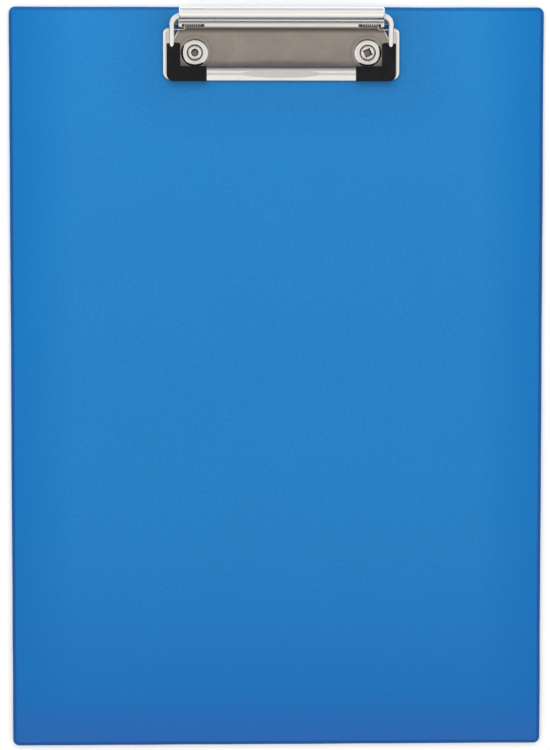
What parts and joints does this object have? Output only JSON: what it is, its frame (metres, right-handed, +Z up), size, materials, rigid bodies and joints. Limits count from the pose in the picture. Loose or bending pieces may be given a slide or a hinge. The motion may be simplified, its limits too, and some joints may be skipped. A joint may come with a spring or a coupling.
{
  "type": "clipboard",
  "caption": "Flat sheet-covered clipboard with a riveted, sprung lever clip that clamps papers under a steel jaw with plastic corner grips",
  "frame": {"origin": "middle of the underside, on the surface that the board rests on", "axes": "+X across the board to the right, +Y along the board towards the clip, +Z up out of the writing face"},
  "size_m": [0.23, 0.32, 0.0131],
  "materials": {
    "grey_board": "raw grey board",
    "blue_sheet": "fine matt grain, welded edge",
    "plated_steel": "bright nickel plate",
    "rivet_steel": "bright nickel plate, pressed",
    "spring_steel": "drawn spring wire",
    "pin_steel": "drawn wire, peened ends",
    "black_plastic": "satin moulded"
  },
  "bodies": {
    "board": {"core_board": "grey_board", "front_cover": "blue_sheet", "back_cover": "blue_sheet", "clip_base_plate": "plated_steel", "rivet_left": "rivet_steel", "rivet_right": "rivet_steel", "spring_left": "spring_steel", "spring_right": "spring_steel"},
    "lever": {"lever_jaw": "plated_steel", "hinge_pin": "pin_steel", "corner_grip_left": "black_plastic", "corner_grip_right": "black_plastic"}
  },
  "joints": [
    {"name": "lever_hinge", "type": "hinge", "parent": "board", "child": "lever", "pos_m": [0.0018, 0.1525, 0.0047], "axis": [-1, 0, 0], "range_deg": [0, 45], "stiffness_Nm_per_rad": 0.08, "springref_deg": -51.57}
  ]
}
